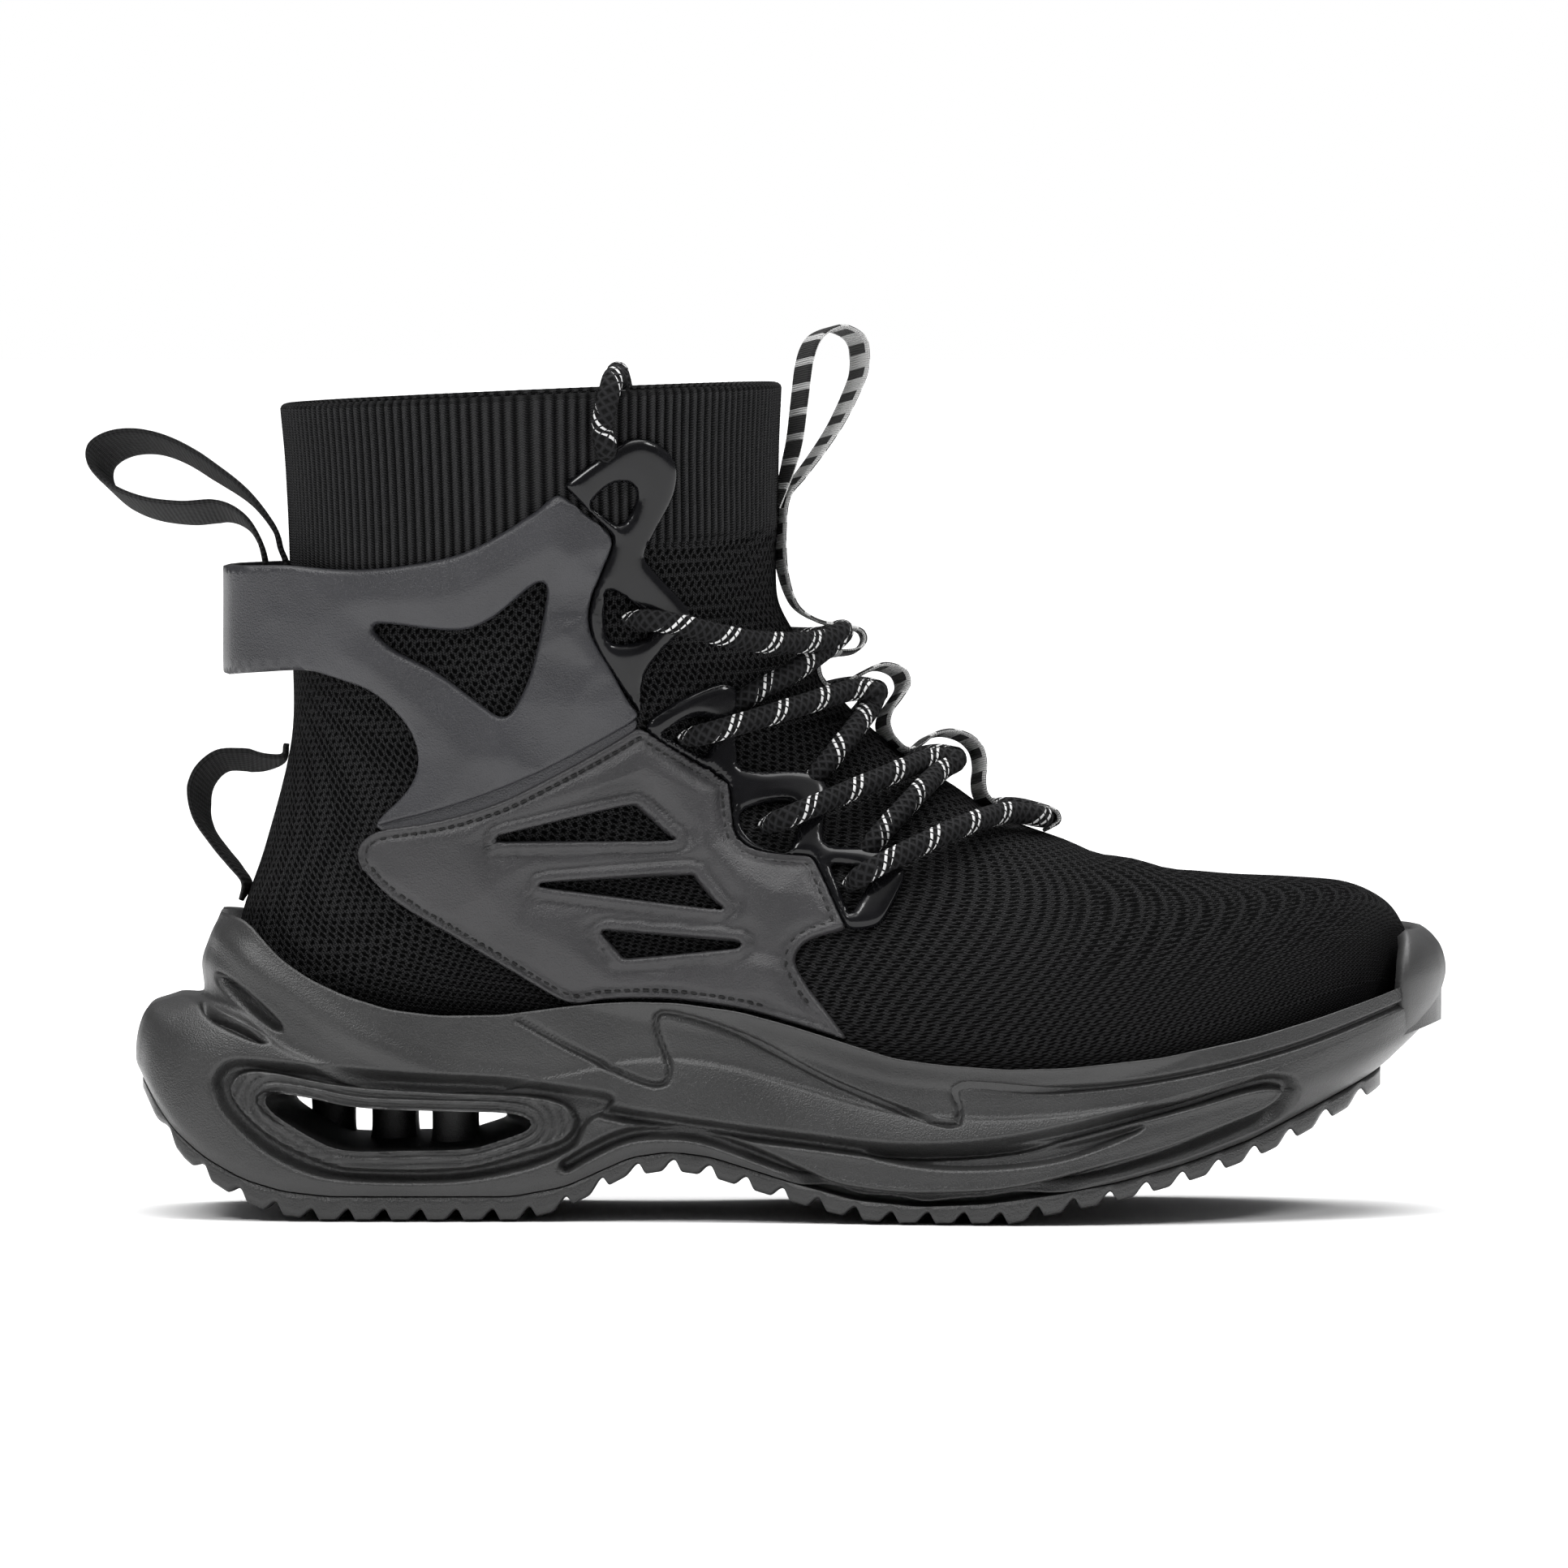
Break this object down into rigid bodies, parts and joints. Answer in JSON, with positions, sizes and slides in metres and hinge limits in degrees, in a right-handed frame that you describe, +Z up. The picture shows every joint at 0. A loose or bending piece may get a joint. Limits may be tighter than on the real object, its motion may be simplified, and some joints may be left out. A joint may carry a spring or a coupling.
{
  "type": "steel toe work boot",
  "caption": "Right high-top knit work boot with moulded ankle cage, side panels, hook lacing, pull loops and a thick cup sole with a heel window and toothed tread.",
  "frame": {"origin": "on the ground under the heel, at the middle of the heel's flat tread patch", "axes": "+X to the toe, +Y to the inner (medial) side, +Z up"},
  "size_m": [0.3189, 0.1152, 0.2102],
  "materials": {
    "knit": "black ribbed knit",
    "insole": "dark grey lining cloth",
    "foam": "matte moulded foam",
    "rubber": "matte rubber",
    "cage": "soft matte moulding",
    "panel": "matte moulded panel",
    "gloss": "gloss black moulding",
    "tape": "woven tape",
    "ribbon": "ribbed black ribbon",
    "lace": "round braided lace with light flecks"
  },
  "bodies": {
    "root": {"upper": "knit", "insole": "insole", "midsole": "foam", "outsole": "rubber", "toe_guard": "rubber", "ankle_cage": "cage", "quarter_lateral": "panel", "quarter_medial": "panel", "eyestay_top_lateral": "gloss", "eyestay_top_medial": "gloss", "eyestay_low_lateral": "gloss", "eyestay_low_medial": "gloss", "tongue_tape": "tape", "heel_pull_loop": "ribbon", "heel_low_loop": "ribbon", "lace_cross_1": "lace", "lace_cross_2": "lace", "lace_cross_3": "lace", "lace_cross_4": "lace", "lace_end_lateral": "lace", "lace_end_medial": "lace"}
  },
  "joints": []
}
